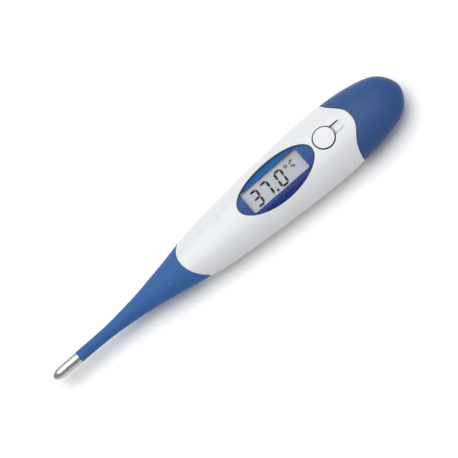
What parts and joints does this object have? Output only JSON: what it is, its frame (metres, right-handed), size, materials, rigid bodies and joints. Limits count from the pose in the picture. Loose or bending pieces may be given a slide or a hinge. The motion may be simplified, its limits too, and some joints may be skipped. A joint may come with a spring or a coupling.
{
  "type": "digital thermometer",
  "caption": "Stick thermometer with a metal sensor tip on a flexible probe, an oval display window, a power key on a spring arm and a pull-off battery cap.",
  "frame": {"origin": "middle of the length and width, on the surface that the flat back rests on", "axes": "+X from the metal tip towards the battery cap, +Z out of the display"},
  "size_m": [0.127, 0.0214, 0.0124],
  "materials": {
    "tip_steel": "polished",
    "potting": "cast resin",
    "sensor_bead": "glazed bead",
    "blue_rubber": "fine satin",
    "lead_wire": "enamelled wire",
    "white_shell": "semi-gloss moulded",
    "clear_lens": "clear acrylic, polished",
    "blue_mask": "printed on the back of the lens",
    "polariser": "anti-glare film",
    "lcd_glass": "clear",
    "reflector": "satin foil",
    "connector_rubber": "layered",
    "inner_plastic": "as moulded",
    "board": "solder mask",
    "chip_resin": "cast resin",
    "chip_parts": "tinned ends",
    "contact_steel": "nickel plated",
    "buzzer_brass": "rolled",
    "buzzer_element": "silvered",
    "cell_steel": "nickel plated",
    "cell_gasket": "nylon",
    "seal_rubber": "smooth",
    "blue_cap": "fine spark texture"
  },
  "bodies": {
    "housing": {"flexible_probe_root": "blue_rubber", "sensor_leads_root": "lead_wire", "upper_housing": "white_shell", "lower_housing": "white_shell", "display_lens": "clear_lens", "window_mask": "blue_mask", "lcd_front_polariser": "polariser", "lcd_front_glass": "lcd_glass", "lcd_rear_glass": "lcd_glass", "lcd_reflector": "reflector", "rubber_connector": "connector_rubber", "lcd_frame": "inner_plastic", "circuit_board": "board", "controller_chip": "chip_resin", "board_components": "chip_parts", "switch_dome": "contact_steel", "buzzer_plate": "buzzer_brass", "buzzer_ceramic": "buzzer_element", "chassis": "inner_plastic", "positive_contact": "contact_steel", "negative_contact": "contact_steel", "cap_seal": "seal_rubber"},
    "probe_link_1": {"flexible_probe_link_1": "blue_rubber", "sensor_leads_link_1": "lead_wire"},
    "probe_link_2": {"flexible_probe_link_2": "blue_rubber", "sensor_leads_link_2": "lead_wire"},
    "probe_link_3": {"flexible_probe_link_3": "blue_rubber", "sensor_leads_link_3": "lead_wire"},
    "probe_link_4": {"flexible_probe_link_4": "blue_rubber", "sensor_leads_link_4": "lead_wire"},
    "probe_link_5": {"flexible_probe_link_5": "blue_rubber", "sensor_leads_link_5": "lead_wire"},
    "probe_link_6": {"flexible_probe_link_6": "blue_rubber", "sensor_leads_link_6": "lead_wire"},
    "probe_end": {"flexible_probe_end": "blue_rubber", "sensor_leads_end": "lead_wire", "probe_tip": "tip_steel", "tip_potting": "potting", "thermistor": "sensor_bead"},
    "button": {"power_button": "white_shell"},
    "cap": {"end_cap": "blue_cap"},
    "battery": {"battery_can": "cell_steel", "battery_gasket": "cell_gasket", "battery_negative_cap": "cell_steel"}
  },
  "joints": [
    {"name": "probe_bend", "type": "hinge", "parent": "housing", "child": "probe_link_1", "pos_m": [-0.0275, 0, 0.00575], "axis": [0, 1, 0], "range_deg": [-20, 20], "stiffness_Nm_per_rad": 0.1},
    {"name": "probe_sway", "type": "hinge", "parent": "probe_link_1", "child": "probe_link_2", "pos_m": [-0.031, 0, 0.00575], "axis": [0, 0, 1], "range_deg": [-20, 20], "stiffness_Nm_per_rad": 0.1},
    {"name": "probe_bend_2", "type": "hinge", "parent": "probe_link_2", "child": "probe_link_3", "pos_m": [-0.0345, 0, 0.00575], "axis": [0, 1, 0], "range_deg": [-20, 20]},
    {"name": "probe_sway_2", "type": "hinge", "parent": "probe_link_3", "child": "probe_link_4", "pos_m": [-0.038, 0, 0.00575], "axis": [0, 0, 1], "range_deg": [-20, 20]},
    {"name": "probe_bend_3", "type": "hinge", "parent": "probe_link_4", "child": "probe_link_5", "pos_m": [-0.0415, 0, 0.00575], "axis": [0, 1, 0], "range_deg": [-20, 20]},
    {"name": "probe_sway_3", "type": "hinge", "parent": "probe_link_5", "child": "probe_link_6", "pos_m": [-0.045, 0, 0.00575], "axis": [0, 0, 1], "range_deg": [-20, 20]},
    {"name": "probe_bend_4", "type": "hinge", "parent": "probe_link_6", "child": "probe_end", "pos_m": [-0.0485, 0, 0.00575], "axis": [0, 1, 0], "range_deg": [-20, 20]},
    {"name": "button_press", "type": "hinge", "parent": "housing", "child": "button", "pos_m": [0.04385, 0, 0.0112], "axis": [0, -1, 0], "range_deg": [0, 4.2], "stiffness_Nm_per_rad": 0.18, "deforming": ["switch_dome"]},
    {"name": "cap_pull", "type": "slide", "parent": "housing", "child": "cap", "axis": [1, 0, 0], "range_m": [0, 0.036]},
    {"name": "battery_slide", "type": "slide", "parent": "housing", "child": "battery", "axis": [1, 0, 0], "range_m": [0, 0.0151]}
  ],
  "couplings": [
    {"joint": "probe_bend_2", "follows": "probe_bend", "ratio": 1},
    {"joint": "probe_bend_3", "follows": "probe_bend", "ratio": 1},
    {"joint": "probe_bend_4", "follows": "probe_bend", "ratio": 1},
    {"joint": "probe_sway_2", "follows": "probe_sway", "ratio": 1},
    {"joint": "probe_sway_3", "follows": "probe_sway", "ratio": 1},
    {"joint": "battery_slide", "follows": "cap_pull", "ratio": 0.419}
  ]
}
